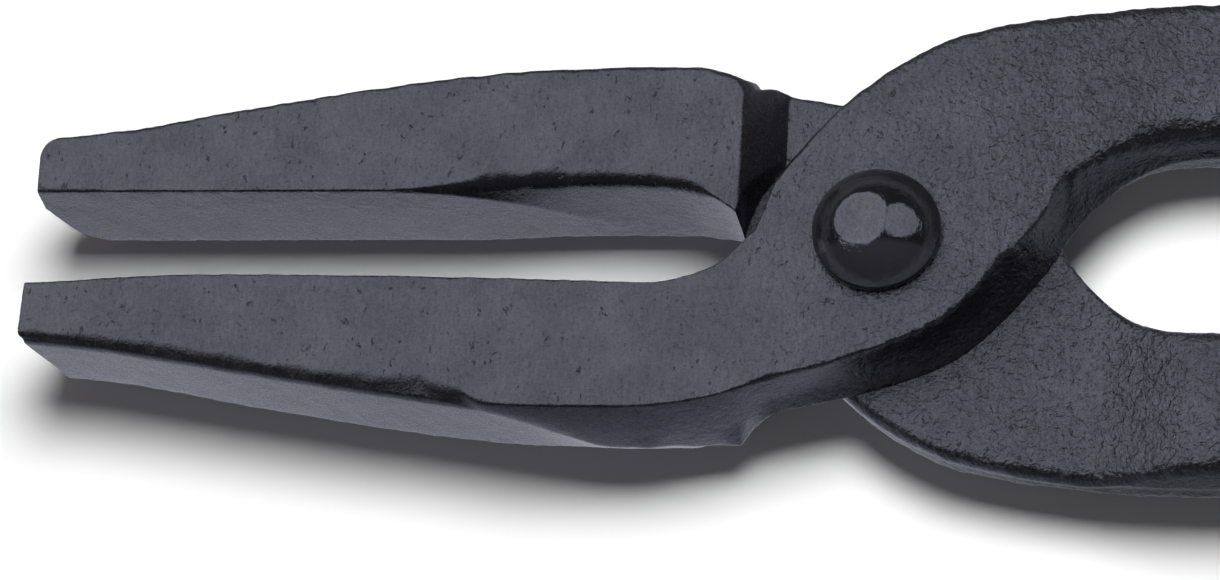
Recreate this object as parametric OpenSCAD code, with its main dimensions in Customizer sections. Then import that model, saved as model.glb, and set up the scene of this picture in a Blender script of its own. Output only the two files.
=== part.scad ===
// Blacksmith's flat-jaw tongs: two drop-forged halves on one rivet.
//
// The rivet axis is Z. The jaws point along -X and the reins (the handles) along +X.
// The origin is the centre of the flat hammered on the lower rivet head, which the tongs rest on.
// The two halves are the same forging: the bottom half is the top half turned over about the X axis.
// They differ only in the fit of the bore, the ground ends of the jaws, and the way the reins are set.
// All sizes are in millimetres, with the jaws parallel and holding stock of jaw_gap.

/* [Jaws] */
// Distance from the rivet axis to the jaw tips
jaw_reach = 104.2; // [90:1:120]
// Gap between the two gripping faces at rest, which is the stock the tongs are made for
jaw_gap = 11.2; // [8:0.1:14]
// Height of the jaws along the rivet axis; each boss is half as thick
jaw_t = 15.4; // [13:0.1:18]
// Width of one jaw at its tip
tip_w = 8.6; // [7:0.1:10]
// Greatest width of one jaw, just before the boss
jaw_w = 17.8; // [16:0.1:19]
// How far the jaw's outer side bulges at the parting line, next to the boss
jaw_belly = 1.9; // [0:0.1:3]
// Depth of the relief behind the gripping face, so that only the front of the jaw grips
throat_relief = 0.7; // [0.3:0.1:1.5]
// Rounding of the jaw tips' corners, seen from above
tip_round = 1.6; // [0.8:0.1:2.5]
// How far the end of the top half's jaw is ground back under its upper edge, in degrees
top_tip_slant = 14.5; // [0:0.5:20]
// Rounding of the lower corner at the end of the top half's jaw
top_tip_round = 1.5; // [1:0.5:6]
// How much shorter the bottom half's jaw is ground
bottom_tip_short = 0.9; // [0:0.1:2]
// How far the end of the bottom half's jaw is ground back, in degrees
bottom_tip_slant = 20; // [0:0.5:25]
// Depth below the jaw's upper face at which that slant starts
bottom_tip_drop = 5.2; // [0:0.1:7]
// Rounding of the lower corner at the end of the bottom half's jaw
bottom_tip_round = 6.5; // [1:0.5:8]

/* [Boss] */
// Least distance from the rivet axis to the boss's edge on the throat side
boss_throat_r = 15.1; // [14:0.1:16]
// Least distance from the rivet axis to the boss's edge in the crotch between the reins
boss_crotch_r = 16.9; // [16:0.1:18]
// How much farther out the boss's edge is where it has turned 50 degrees towards the rein or the jaw
boss_flare = 4.3; // [3:0.1:5]
// Distance from the rivet axis to the shoulder where the full-height jaw starts
shoulder_x = 16.6; // [16:0.1:18]
// Radius of the cove that runs from the boss up to the jaw at the shoulder
cove_r = 4.2; // [2:0.1:5]
// Corner rounding of the boss and of the reins where they leave it
forged_r = 1.6; // [1:0.1:2.5]
// Draft angle of the forged sides, away from the die's parting plane
draft = 7; // [3:0.5:8]
// Draft angle of the boss's side in the crotch, where the die was widest
crotch_draft = 20; // [10:1:22]

/* [Reins] */
// Distance from the rivet axis to the ends of the reins
rein_reach = 297; // [240:1:330]
// Distance of each rein's centre line from the X axis where it leaves the boss
rein_root_y = 21.5; // [20:0.1:24]
// How far both reins are set over towards the top half's side, as the smith left them
rein_set = 1.1; // [0:0.1:2]
// The centre line's distance at the middle of the rein
rein_mid_y = 25.6; // [22:0.1:30]
// The centre line's distance at the rein's end
rein_end_y = 24.8; // [21:0.1:30]
// Width of the rein where it leaves the boss
rein_root_w = 19; // [16:0.1:21]
// Height of the rein where it leaves the boss
rein_root_t = 10.2; // [8:0.1:12]
// Diameter of the round end of the rein
rein_end_d = 10; // [8:0.1:12]
// Length of the straight, round end
rein_end_l = 32; // [20:1:45]

/* [Rivet] */
// Diameter of the rivet's shank
shank_d = 10; // [8:0.1:12]
// Diameter of both rivet heads
head_d = 15.6; // [14:0.1:18]
// Height of the round upper head
head_h = 5.6; // [4.5:0.1:6.5]
// Height of the upright edge round the upper head
head_edge_h = 1.2; // [0.5:0.1:2]
// Height of the lower head, which is hammered down
set_head_h = 4; // [3:0.1:5]
// Diameter of the flat on the lower head
set_flat_d = 7; // [5:0.1:9]

/* [Fits] */
// Gap between the two bosses where they slide on each other
face_gap = 0.1; // [0.05:0.05:0.3]
// Radial clearance between the shank and the bottom half, which turns on it
shank_clear = 0.05; // [0.02:0.01:0.08]
// Clearance round the other half's boss where it swings past the shoulder
swing_gap = 0.3; // [0.2:0.1:0.6]

/* [Hidden] */
$fn = 64;

// Height of the plane between the two bosses, which is also the forgings' parting plane
mid_z = set_head_h + jaw_t / 2;
half_t = jaw_t / 2;
half_gap = jaw_gap / 2;

// Where the jaw reaches its full width, and where the relief behind its gripping face begins and is deepest
jaw_root_x = -30;
relief_x = -42;
throat_x = -29;
// Where the boss's flat inner face starts to run out into the rein, and where it gets there
ramp_x0 = 23.6;
ramp_x1 = 41;
// Where the rein is clear of the boss, its middle, and where its straight round end starts
root_x = 41.5;
end_x = rein_reach - rein_end_l;
rein_mid_x = (root_x + end_x) / 2;
// How late along the jaw its width grows; 1 is soonest
jaw_taper = 1.28;
// Directions in which the boss's edge is closest to the rivet, on its throat side and in the crotch, how far
// round it stays so in the crotch, and how sharply it then flares out
throat_angle = 150;
crotch_angle = -57;
crotch_round = 5;
flare_turn = 50;
flare_power = 2.45;
// Where the boss's two edges leave that curve for the rein, and how steeply they set off
throat_end_angle = 72;
crotch_end_angle = 4;
throat_bend = 2.1;
crotch_bend = 2.7;
// The gripping edges stay crisp, and so does the edge of the boss's flat inner face
crisp_r = 0.4;
// How much the shoulder's wall leans
wall_lean = 0.5;
// Stock left for machining on the boss's inner face and on the gripping face
stock = 0.2;
grip_stock = 0.25;
// How much thinner than its round end the tapered rein is where the two join, and how far they overlap
end_step = 0.3;
end_lap = 1.5;
// Reach of the cutters past the surfaces that they cut
over = 1;

forged_steel = [0.30, 0.30, 0.33];
rivet_steel = [0.20, 0.20, 0.23];

function mix(a, b, u) = a + (b - a) * u;
function polar(r, angle) = r * [cos(angle), sin(angle)];

// Smooth curve through keys [x, value, ...], which never overshoots a key
function rise(k, i) = (k[i + 1][1] - k[i][1]) / (k[i + 1][0] - k[i][0]);
function key_slope(k, i) =
    i == 0 ? rise(k, 0)
    : i == len(k) - 1 ? rise(k, i - 1)
    : let (a = rise(k, i - 1), b = rise(k, i))
      a * b <= 0 ? 0 : sign(a) * min(abs(a + b) / 2, 3 * abs(a), 3 * abs(b));
function curve(k, x, i = 0) =
    i < len(k) - 2 && x > k[i + 1][0] ? curve(k, x, i + 1)
    : let (w = k[i + 1][0] - k[i][0], t = min(1, max(0, (x - k[i][0]) / w)))
      mix(k[i][1], k[i + 1][1], t * t * (3 - 2 * t))
      + w * t * (1 - t) * ((1 - t) * key_slope(k, i) - t * key_slope(k, i + 1));

// Points of the bend from the boss into the rein: steep at the boss, level at the rein
function bend(from, to, power) =
    [for (u = [0:0.125:1]) [mix(from[0], to[0], u), mix(from[1], to[1], 1 - pow(1 - u, power))]];
// Extra radius of the boss's edge where it has turned by an angle from its closest point
function flare(angle) = boss_flare * pow(max(0, angle) / flare_turn, flare_power);

// Everything below describes the top half, with its parting plane at z = 0 and its jaw at -Y.
// Corner where the throat meets the boss
throat_corner = [-shoulder_x - 0.3, -1.9];
// Edge on the gripping side of the jaw, which runs on round the boss as the outside of the rein
function throat_side(angle) = polar(boss_throat_r + flare(throat_angle - angle), angle);
grip_edge = concat(
    [[-jaw_reach, grip_stock - half_gap], [relief_x, grip_stock - half_gap]],
    [[throat_x, -half_gap - throat_relief], [throat_x + 5.5, 0.2 - half_gap], throat_corner],
    [for (angle = [171:-9:81]) throat_side(angle)],
    bend(throat_side(throat_end_angle), [root_x, rein_root_y + rein_root_w / 2], throat_bend),
    [[rein_mid_x, rein_mid_y + (rein_root_w + 3 * rein_end_d) / 8]],
    [[end_x, rein_end_y + rein_end_d / 2 - end_step / 2]]);

// Edge on the outside of the jaw, which runs on round the boss as the inside of the rein
function crotch_side(angle) =
    polar(boss_crotch_r + flare(abs(angle - crotch_angle) - crotch_round), angle);
outer_edge = concat(
    [for (u = [0:0.125:1]) [mix(-jaw_reach, jaw_root_x, u),
                            -half_gap - mix(tip_w, jaw_w, sin(90 * pow(u, jaw_taper)))]],
    [[-shoulder_x - 5.4, 0.5 - half_gap - jaw_w], [-shoulder_x - 0.6, 1.4 - half_gap - jaw_w]],
    [for (angle = [-119:12:-11]) crotch_side(angle)],
    bend(crotch_side(crotch_end_angle), [root_x, rein_root_y - rein_root_w / 2], crotch_bend),
    [[rein_mid_x, rein_mid_y - (rein_root_w + 3 * rein_end_d) / 8]],
    [[end_x, rein_end_y - rein_end_d / 2 + end_step / 2]]);

// Bulge of the jaw's outer side at the parting line, which runs out on the boss
belly = [[-50, 0], [jaw_root_x, 0.7 * jaw_belly], [-shoulder_x, jaw_belly], [-14, 0.65 * jaw_belly],
         [-8, 0.15 * jaw_belly], [0, 0]];

// How far the boss and the rein stand over to one side along the bar
set_over = [[-22, 0], [-10, 0.55 * rein_set], [10, 0.7 * rein_set], [root_x, rein_set]];

rein_height = [[root_x, rein_root_t / 2], [rein_mid_x, (rein_root_t + rein_end_d) / 4],
               [end_x, (rein_end_d - end_step) / 2]];
top_height = concat([[-jaw_reach, half_t], [10, half_t]], rein_height);

// Depth of the boss's rough inner face below the parting plane
rough_z = stock - face_gap / 2;
// Height of the underside: the jaw's own, the cove up to the flat boss, and the ramp down to the rein
function cove(x) = let (d = x + shoulder_x - cove_r) -cove_r + sqrt(max(0, pow(cove_r, 2) - d * d));
function ramp(x) = (1 - cos(180 * (x - ramp_x0) / (ramp_x1 - ramp_x0))) / 2;
function under_height(x) =
    x <= -shoulder_x - wall_lean ? -half_t
    : x <= -shoulder_x ? mix(-half_t, -cove_r, (x + shoulder_x + wall_lean) / wall_lean)
    : x <= -shoulder_x + cove_r ? cove(x) - rough_z
    : x <= ramp_x0 ? -rough_z
    : x <= ramp_x1 ? mix(-rough_z, -curve(rein_height, root_x), ramp(x))
    : -curve(rein_height, x);

// Corner radii along the bar: crisp on the gripping side of the jaw, all but fully round at the rein's end
rein_radius = [[root_x, forged_r], [rein_mid_x, 0.36 * rein_end_d], [end_x, 0.484 * rein_end_d]];
grip_radius = concat([[-jaw_reach, crisp_r], [-24, crisp_r], [-8, forged_r]], rein_radius);
outer_radius = concat(
    [[-jaw_reach, forged_r / 2], [-64, forged_r], [jaw_root_x, forged_r / 2], [-8, forged_r]], rein_radius);
// Whether a place along the bar is the boss's: 1 where its flat inner face is, and less along the ramp
function boss_share(x) = x < -shoulder_x - wall_lean || x > ramp_x1 ? 0
    : x < ramp_x0 ? 1 : 1 - ramp(x);

stations = concat(
    [for (a = [0:22.5:90]) -jaw_reach + tip_round * (1 - cos(a))],
    [for (i = [1:9]) mix(tip_round - jaw_reach, relief_x, i / 9)],
    [for (i = [1:7]) mix(relief_x, -shoulder_x - wall_lean, i / 7)],
    [for (a = [0:18:90]) -shoulder_x + cove_r * (1 - cos(a))],
    [for (i = [1:20]) mix(cove_r - shoulder_x, ramp_x0, i / 20)],
    [for (i = [1:9]) mix(ramp_x0, root_x, i / 9)],
    [for (i = [1:13]) mix(root_x, end_x, i / 13)]);

// Steps of the rounded corners above and below, and points in one section
top_steps = 4;
under_steps = 3;
section_n = 2 * (top_steps + under_steps + 3);

// One corner of a section: an arc that starts on the side and ends on the top or underside
function corner(edge, z, r, slope, side, up, steps, lean) =
    [for (i = [0:steps]) let (a = 90 * (up * side > 0 ? i / steps : 1 - i / steps))
        [edge - side * ((abs(z) - r) * lean + r * (1 - cos(a))) * slope, z - up * r * (1 - sin(a))]];

// Draft of the two sides: none on the gripping side of the jaw, and the most in the crotch
grip_draft = [[-jaw_reach, 0], [throat_x, 0], [-8, tan(draft)], [root_x, tan(draft)]];
outer_draft = [[-jaw_reach, tan(draft)], [-shoulder_x, tan(draft)], [0, tan((draft + crotch_draft) / 2)],
               [20, tan(crotch_draft)], [30, tan(draft)], [root_x, tan(draft)]];
// Inset of the bar's end face that rounds a corner of radius r
function end_inset(x, r) = r - sqrt(max(0, pow(r, 2) - pow(max(0, r - x - jaw_reach), 2)));
// Extra length of an edge that crosses the section at a slope
function slant(edge, x) = norm([1, (curve(edge, x + 0.2) - curve(edge, x - 0.2)) / 0.4]);

// The section of the bar at x, as points [y, z] that run counter-clockwise round it.
// The side is 1 for the top half and -1 for the bottom half, which is set over the other way.
function section(x, side) =
    let (set = side * curve(set_over, x),
         hi = curve(grip_edge, x) + set - end_inset(x, 2 * crisp_r),
         lo = curve(outer_edge, x) + set + end_inset(x, tip_round),
         hi_slant = slant(grip_edge, x), lo_slant = slant(outer_edge, x),
         top = curve(top_height, x), under = under_height(x),
         grip_r = curve(grip_radius, x), outer_r = curve(outer_radius, x),
         grip_under_r = mix(grip_r, crisp_r, boss_share(x)),
         outer_under_r = mix(outer_r, crisp_r, boss_share(x)),
         grip_lean = curve(grip_draft, x), outer_lean = curve(outer_draft, x),
         part_z = max(0, under + crisp_r * 1.2))
    concat([[hi, part_z]],
           corner(hi, top, grip_r, hi_slant, 1, 1, top_steps, grip_lean),
           corner(lo, top, outer_r, lo_slant, -1, 1, top_steps, outer_lean),
           [[lo - curve(belly, x), part_z]],
           corner(lo, under, outer_under_r, lo_slant, -1, -1, under_steps, outer_lean),
           corner(hi, under, grip_under_r, hi_slant, 1, -1, under_steps, grip_lean));

module forged_bar(side) {
    n = section_n;
    last = len(stations) - 1;
    points = [for (x = stations) for (p = section(x, side)) [x, p[0], p[1]]];
    sides = [for (i = [0:last - 1], j = [0:n - 1])
        let (a = i * n + j, b = i * n + (j + 1) % n) each [[a, a + n, b + n], [a, b + n, b]]];
    caps = [[for (j = [0:n - 1]) j], [for (j = [n - 1:-1:0]) last * n + j]];
    polyhedron(points, concat(sides, caps));
}

// The straight, round end of the rein, with a full round tip
module rein_end(side) {
    r = rein_end_d / 2;
    translate([0, rein_end_y + side * rein_set, 0]) {
        translate([end_x - end_lap, 0, 0]) rotate([0, 90, 0]) cylinder(r = r, h = rein_end_l + end_lap - r);
        translate([rein_reach - r, 0, 0]) sphere(r = r);
    }
}

// Facing cut that leaves the boss's flat inner face and clears the path of the other boss past the shoulder
module facing_cut() {
    swing_r = norm(throat_corner) + swing_gap;
    reach = 2 * shoulder_x;
    x0 = cove_r - shoulder_x - 0.8;
    x1 = ramp_x0 + 2;
    translate([0, 0, -half_t - over]) cylinder(r = swing_r, h = half_t + over + face_gap / 2);
    translate([x0, -reach, -cove_r]) cube([x1 - x0, 2 * reach, cove_r + face_gap / 2]);
}

// Grinding cut that leaves the flat gripping face
module grinding_cut() {
    translate([-jaw_reach - over, -half_gap, -half_t - over])
        cube([jaw_reach + over + throat_x + 2, grip_stock + over, jaw_t + 2 * over]);
}

// What is ground off the end of a jaw: its full height, a slant that starts at a drop below one face, and a
// round corner at the other face. The side is 1 when that corner is at the forging's underside, else -1.
module tip_cut(short, slant, drop, r, side) {
    end = short - jaw_reach;
    foot = [end + (jaw_t - drop) * tan(slant), -half_t];
    tangent = r * tan(45 - slant / 2);
    centre = foot + [tangent, r];
    mirror([0, 0, side < 0 ? 1 : 0]) rotate([90, 0, 0]) linear_extrude(4 * jaw_w, center = true) {
        polygon([[end - short - over, half_t + over], [end, half_t + over], [end, half_t - drop], foot,
                 foot + [0, -over], [end - short - over, -half_t - over]]);
        difference() {
            polygon([centre, foot + tangent * [-sin(slant), cos(slant)], foot - [over, over],
                     foot + [tangent, -over]]);
            translate(centre) circle(r);
        }
    }
}

// One half, with the bore for the shank and the end of its jaw ground
module forging(bore_d, short, slant, drop, tip_r, side) {
    difference() {
        union() {
            forged_bar(side);
            rein_end(side);
        }
        facing_cut();
        grinding_cut();
        translate([0, 0, -half_t - over]) cylinder(d = bore_d, h = jaw_t + 2 * over);
        tip_cut(short, slant, drop, tip_r, side);
    }
}

module top_half() {
    color(forged_steel) translate([0, 0, mid_z])
        forging(shank_d, 0, top_tip_slant, 0, top_tip_round, 1);
}

module bottom_half() {
    color(forged_steel) translate([0, 0, mid_z]) rotate([180, 0, 0])
        forging(shank_d + 2 * shank_clear, bottom_tip_short, bottom_tip_slant, bottom_tip_drop,
                bottom_tip_round, -1);
}

// A head between z = 0, where it is d1 across, and z = h, where it is d2 across, cut from one sphere
module head(d1, d2, h) {
    centre_z = (d2 * d2 - d1 * d1 + 4 * h * h) / (8 * h);
    intersection() {
        translate([0, 0, centre_z]) sphere(r = norm([d1 / 2, centre_z]), $fn = 96);
        cylinder(d = max(d1, d2) + over, h = h);
    }
}

module rivet() {
    color(rivet_steel) {
        head(set_flat_d, head_d, set_head_h - face_gap);
        translate([0, 0, set_head_h / 2]) cylinder(d = shank_d, h = jaw_t + set_head_h / 2);
        translate([0, 0, set_head_h + jaw_t]) cylinder(d = head_d, h = head_edge_h);
        translate([0, 0, set_head_h + jaw_t + head_h]) mirror([0, 0, 1])
            head(0, head_d, head_h - head_edge_h);
    }
}

top_half();
bottom_half();
rivet();
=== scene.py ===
import math
import bpy
import numpy as np
from mathutils import Matrix, Vector, noise


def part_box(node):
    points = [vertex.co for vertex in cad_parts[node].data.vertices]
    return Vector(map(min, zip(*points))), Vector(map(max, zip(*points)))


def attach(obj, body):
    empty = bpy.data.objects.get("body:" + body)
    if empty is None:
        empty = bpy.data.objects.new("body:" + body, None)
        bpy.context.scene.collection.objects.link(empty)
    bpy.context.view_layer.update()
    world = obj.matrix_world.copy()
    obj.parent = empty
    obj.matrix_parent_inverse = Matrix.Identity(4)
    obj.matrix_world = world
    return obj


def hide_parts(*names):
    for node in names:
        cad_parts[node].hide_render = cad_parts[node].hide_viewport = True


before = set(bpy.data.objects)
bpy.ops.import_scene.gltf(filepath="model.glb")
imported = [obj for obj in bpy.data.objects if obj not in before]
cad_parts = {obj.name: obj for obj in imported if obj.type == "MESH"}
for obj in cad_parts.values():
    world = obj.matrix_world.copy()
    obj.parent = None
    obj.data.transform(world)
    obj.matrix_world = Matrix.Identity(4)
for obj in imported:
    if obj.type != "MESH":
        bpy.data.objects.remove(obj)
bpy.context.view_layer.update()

# Sizes here are in millimetres, in the CAD's frame: the rivet axis is Z, the jaws point along -X.
# Angles are in degrees.
MM = 0.001
TOP_LOW, TOP_HIGH = (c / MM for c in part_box("top_half"))
BOTTOM_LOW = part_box("bottom_half")[0] / MM
RIVET_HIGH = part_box("rivet")[1] / MM

# Sizes that the frame gives
JAW_REACH = -TOP_LOW.x
BOTTOM_TIP_SHORT = BOTTOM_LOW.x - TOP_LOW.x
REIN_REACH = TOP_HIGH.x
SET_HEAD_H = TOP_LOW.z
JAW_T = TOP_HIGH.z - TOP_LOW.z
HALF_T = JAW_T / 2
MID_Z = TOP_LOW.z + HALF_T
HEAD_R = RIVET_HIGH.x
HEAD_H = RIVET_HIGH.z - TOP_HIGH.z

# The forging's own sizes, the same as the part's. A half is drawn in the top half's own frame, whose
# z = 0 is the parting plane. Its grip side faces the other jaw, and its outer side faces away.
HALF_GAP = 5.6
TIP_W = 8.6
JAW_W = 17.8
JAW_ROOT_X = -30
THROAT_X = -29
SHOULDER_X = 16.6
WALL_LEAN = 0.5
COVE_R = 4.2
BOSS_THROAT_R = 15.1
BOSS_CROTCH_R = 16.9
BOSS_FLARE = 4.3
RAMP_X0 = 23.6
RAMP_X1 = 41
ROOT_X = 41.5
REIN_ROOT_Y = 21.5
REIN_MID_Y = 25.6
REIN_END_Y = 24.8
REIN_SET = 1.1
REIN_ROOT_W = 19
REIN_ROOT_T = 10.2
REIN_END_D = 10
REIN_END_L = 32
END_X = REIN_REACH - REIN_END_L
REIN_MID_X = (ROOT_X + END_X) / 2
FORGED_R = 1.6
DRAFT = math.tan(math.radians(7))
SHANK_R = 5
SHANK_CLEAR = 0.05
FACE_GAP = 0.1
FACE_Z = -FACE_GAP / 2
# How late along the jaw its width grows; 1 is soonest
JAW_TAPER = 1.28
# Directions in which the boss's edge is closest to the rivet, on its throat side and in the crotch, how far
# round it stays so in the crotch, and how sharply it then flares out
THROAT_ANGLE = 150
CROTCH_ANGLE = -57
CROTCH_ROUND = 5
FLARE_TURN = 50
FLARE_POWER = 2.45
# Where the boss's two edges leave that curve for the rein, and how steeply they set off
THROAT_END_ANGLE = 72
CROTCH_END_ANGLE = 4
THROAT_BEND = 2.1
CROTCH_BEND = 2.7

TIP_X = -JAW_REACH
# The slope from the jaw's underside up to the boss's flat face
SLOPE_TOP_X = -SHOULDER_X - WALL_LEAN
SLOPE_FOOT_X = COVE_R - SHOULDER_X
# Nearly all of Blender's noise lies within 0.65 of 0, so this brings it to about 1
NOISE_TO_ONE = 1.6


# ---------------------------------------------------------------- curves
def mix(a, b, u):
    return a + (b - a) * u


def smooth_step(low, high, x):
    u = np.clip((x - low) / (high - low), 0, 1)
    return u * u * (3 - 2 * u)


def span(zone, x):
    """1 inside a zone of the bar and 0 outside it."""
    begin, full, fade, end = zone
    return smooth_step(begin, full, x) * (1 - smooth_step(fade, end, x))


def curve(keys, x):
    """Smooth curve through keys (x, value), which never overshoots a key."""
    kx, ky = (np.array(v, float) for v in zip(*keys))
    width = np.diff(kx)
    rise = np.diff(ky) / width
    slope = np.empty(len(kx))
    slope[0], slope[-1] = rise[0], rise[-1]
    a, b = rise[:-1], rise[1:]
    limit = np.minimum(np.abs(a + b) / 2, 3 * np.minimum(np.abs(a), np.abs(b)))
    slope[1:-1] = np.where(a * b <= 0, 0, np.sign(a) * limit)
    i = np.clip(np.searchsorted(kx, x, "left") - 1, 0, len(width) - 1)
    t = np.clip((x - kx[i]) / width[i], 0, 1)
    hermite = width[i] * t * (1 - t) * ((1 - t) * slope[i] - t * slope[i + 1])
    return mix(ky[i], ky[i + 1], t * t * (3 - 2 * t)) + hermite


def slant(keys, x):
    """The curve's length over its extent in x, which is 1 where it is level."""
    reach = 0.2
    return np.hypot(1, (curve(keys, x + reach) - curve(keys, x - reach)) / (2 * reach))


def evened(x, v, width):
    """The values v along the bar, each averaged with its neighbours within about width."""
    weight = np.exp(-((x[:, None] - x[None, :]) / width) ** 2) * np.gradient(x)[None, :]
    return weight @ v / weight.sum(1)


def ripple(x, seed, size):
    """Unevenness along an edge, mostly between -1 and 1."""
    return np.array([noise.noise(Vector((v / size, seed * 7.3, 0.5))) for v in x]) * NOISE_TO_ONE


def polar(r, degrees):
    return r * math.cos(math.radians(degrees)), r * math.sin(math.radians(degrees))


def flare(degrees):
    """How much farther out the boss's edge is, so many degrees past where it is closest to the rivet."""
    return BOSS_FLARE * (max(0, degrees) / FLARE_TURN) ** FLARE_POWER


def throat_side(degrees):
    return polar(BOSS_THROAT_R + flare(THROAT_ANGLE - degrees), degrees)


def crotch_side(degrees):
    return polar(BOSS_CROTCH_R + flare(abs(degrees - CROTCH_ANGLE) - CROTCH_ROUND), degrees)


def bend(start, end, power):
    """Points of the bend from the boss into the rein: steep at the boss, level at the rein."""
    return [(mix(start[0], end[0], u), mix(start[1], end[1], 1 - (1 - u) ** power))
            for u in np.linspace(0, 1, 25)]


# ---------------------------------------------------------------- the outline and heights of a half
# The two edges seen from above at the parting plane
MID_HALF_W = (REIN_ROOT_W + 3 * REIN_END_D) / 8
GRIP_EDGE = ([(-JAW_REACH, -HALF_GAP), (-54, -HALF_GAP), (THROAT_X, -HALF_GAP - 0.55),
              (THROAT_X + 5.5, 0.2 - HALF_GAP), (-SHOULDER_X - 0.3, -1.9)]
             + [throat_side(a) for a in range(171, 74, -3)]
             + bend(throat_side(THROAT_END_ANGLE), (ROOT_X, REIN_ROOT_Y + REIN_ROOT_W / 2), THROAT_BEND)
             + [(REIN_MID_X, REIN_MID_Y + MID_HALF_W), (END_X, REIN_END_Y + REIN_END_D / 2)])
OUTER_EDGE = ([(mix(-JAW_REACH, JAW_ROOT_X, u),
                -HALF_GAP - mix(TIP_W, JAW_W, math.sin(math.pi / 2 * u ** JAW_TAPER)))
               for u in np.linspace(0, 1, 9)]
              + [(-SHOULDER_X - 5.4, 0.5 - HALF_GAP - JAW_W), (-SHOULDER_X - 0.6, 1.4 - HALF_GAP - JAW_W)]
              + [crotch_side(a) for a in range(-119, -1, 4)]
              + bend(crotch_side(CROTCH_END_ANGLE), (ROOT_X, REIN_ROOT_Y - REIN_ROOT_W / 2), CROTCH_BEND)
              + [(REIN_MID_X, REIN_MID_Y - MID_HALF_W), (END_X, REIN_END_Y - REIN_END_D / 2)])
# How far the smith set the bar over, and half its height
SET_OVER = [(-22, 0), (-10, 0.55 * REIN_SET), (10, 0.7 * REIN_SET), (ROOT_X, REIN_SET)]
REIN_HEIGHT = [(ROOT_X, REIN_ROOT_T / 2), (REIN_MID_X, (REIN_ROOT_T + REIN_END_D) / 4),
               (END_X, REIN_END_D / 2)]
TOP_HEIGHT = [(-JAW_REACH, HALF_T), (10, HALF_T)] + REIN_HEIGHT

# The jaw's grip side: the y of its upper corner on the top half, of the same corner on the bottom half, and
# of the foot of the forged skin, which stands back from the ground face; and the height above the
# underside at which that skin meets the ground face
TOP_GRIP = [(TIP_X, -6.4), (-99, -6.15), (-94, -5.75), (-88, -5.45), (-80, -5.35), (-58, -5.55),
            (-45, -5.85), (-33, -6.2), (-27.5, -6.4), (-23.5, -5.7), (-21, -4.85), (-18.8, -3.7),
            (-16.2, -1.1), (-14.2, 1.5)]
FAR_GRIP = [(TIP_X, -5.6), (-52, -5.6), (-38, -6.1), (-23.6, -6.15), (-21, -5.75), (-18.4, -5.4),
            (-17, -4.6), (-14.2, 1.5)]
SKIN_GRIP = [(TIP_X, -5.65), (-60, -5.65), (-54, -6.2), (-50, -6.65), (-46, -6.85), (-34, -6.9), (-29, -6.75),
             (-24, -6.15), (-21.7, -5.4), (-19.8, -4.6), (-18.6, -3.8), (-17.3, -2.8), (-14.2, 1.5)]
SKIN_DEPTH = [(-60, 0.5), (-52, 1.4), (-48, 3.0), (-44, 4.6), (-38, 8.4), (-34, 10.5), (-31, 12.5),
              (-22, 12.5), (-12, HALF_T)]

# The jaw's outer side: how far its belly stands out from the outline, the height of the belly's crest, and
# how far the upper and the lower corner stand out, where less than 0 is farther in
JAW_BELLY = [(TIP_X, -0.25), (-54, -0.3), (-46, 0), (-38, 0.75), (-33, 1.25), (-28, 1.35)]
TOP_BELLY = JAW_BELLY + [(-24, 0.8), (-20, 0.75), (-17.2, 1.4), (-16.6, 1.5), (-16.1, 0.9), (-15.5, 0.1),
                         (-14.8, -0.4), (-13.5, -0.2), (-12, 0)]
BOTTOM_BELLY = JAW_BELLY + [(-22, 1.3), (-18.2, 1.1), (-16.5, 0.75), (-15.9, 0.1), (-8, 0)]
JAW_CREST = [(TIP_X, 6.6), (-62, 6.6), (-50, 6.1), (-45, 5.0), (-41, 3.8), (-37, 2.0), (-33, 0.2),
             (-28, -0.2)]
TOP_CREST = JAW_CREST + [(-24, -1.5), (-20, -3), (-17, -3.4), (-15, -3.4), (-12, 0)]
BOTTOM_CREST = JAW_CREST + [(-17, 0)]
TOP_OUTER = [(TIP_X, -1.45), (-94, -1.7), (-69, -1.75), (-64, -1.95), (-58, -2.6), (-54.3, -2.9),
             (-51.5, -1.75), (-49.3, -1.3), (-46.8, -0.5), (-40, -0.7), (-32, -0.9), (-27, -0.95),
             (-22.6, -1.1), (-13, -1.1)]
FOOT_OUTER = [(TIP_X, -1.35), (-44, -1.35), (-36, -1.65), (-25, -1.5), (-22.5, -1.25), (-20.5, -1.45),
              (-18.2, -1.95), (-17.1, -2.25), (-16.5, -2.15), (-15.9, -2.5), (-15, -1.95), (-13.6, -1.15),
              (-12.4, -0.35)]
# How much farther in the bottom half's lower corner stands
BOTTOM_FOOT_IN = 0.15

# How much farther in than its draft puts it the upper edge stands in the crotch
CROTCH_SET = [(-5, 0), (2, 0.5), (9, 0.95), (15, 1.5), (21, 1.35), (27, 0.95), (33, 0.35), (41, 0)]
# How much farther out than the outline the side stands, but for its upper edge, beside the shoulder
SHOULDER_FILL = [(-17.2, 0), (-15.5, 0.3), (-14, 0.7), (-12.3, 0.62), (-10, 0.43), (-7, 0.2), (-4, 0.12),
                 (0, 0)]

# Zones of the bar: where each begins, is full, starts to fade and ends
BOSS_ZONE = (SLOPE_TOP_X, -SHOULDER_X, RAMP_X0, RAMP_X1)
CROTCH_ZONE = (-12, -2, 20, 36)
BELLY_ZONE = (-49, -45, -19, -12)
EVEN_ZONE = (-34, -26, -4, 2)
RELIEF_ZONE = (-54, -44, -24, -19)
SLOPE_ZONE = (-18, -17, -13, -11)


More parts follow.
